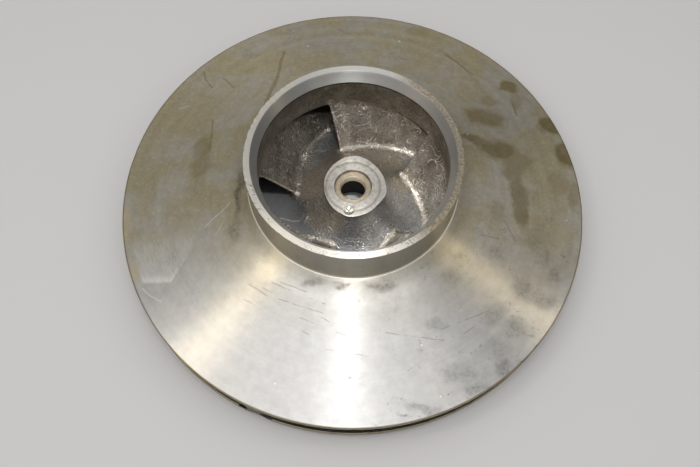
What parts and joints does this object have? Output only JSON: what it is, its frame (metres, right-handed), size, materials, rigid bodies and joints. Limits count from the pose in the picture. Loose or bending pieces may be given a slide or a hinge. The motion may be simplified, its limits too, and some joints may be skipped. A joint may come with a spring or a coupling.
{
  "type": "pump impeller",
  "caption": "Closed single-suction centrifugal pump impeller: wide shroud discs with backward-curved vanes between them, a suction eye collar and a bored hub.",
  "frame": {"origin": "centre of the rear hub face, on the shaft axis, where the impeller rests", "axes": "+Z along the shaft axis, out of the suction eye; +X and +Y across the discs"},
  "size_m": [0.33, 0.33, 0.0846],
  "materials": {
    "machined_steel": "lathe-turned stainless casting, satin with a warm tarnish and stains",
    "cast_steel": "sand-cast stainless skin, rough and dark"
  },
  "bodies": {
    "root": {"front_shroud": "machined_steel", "eye_collar": "machined_steel", "back_shroud": "machined_steel", "hub": "machined_steel", "vane_1": "cast_steel", "vane_2": "cast_steel", "vane_3": "cast_steel", "vane_4": "cast_steel", "vane_5": "cast_steel"}
  },
  "joints": []
}
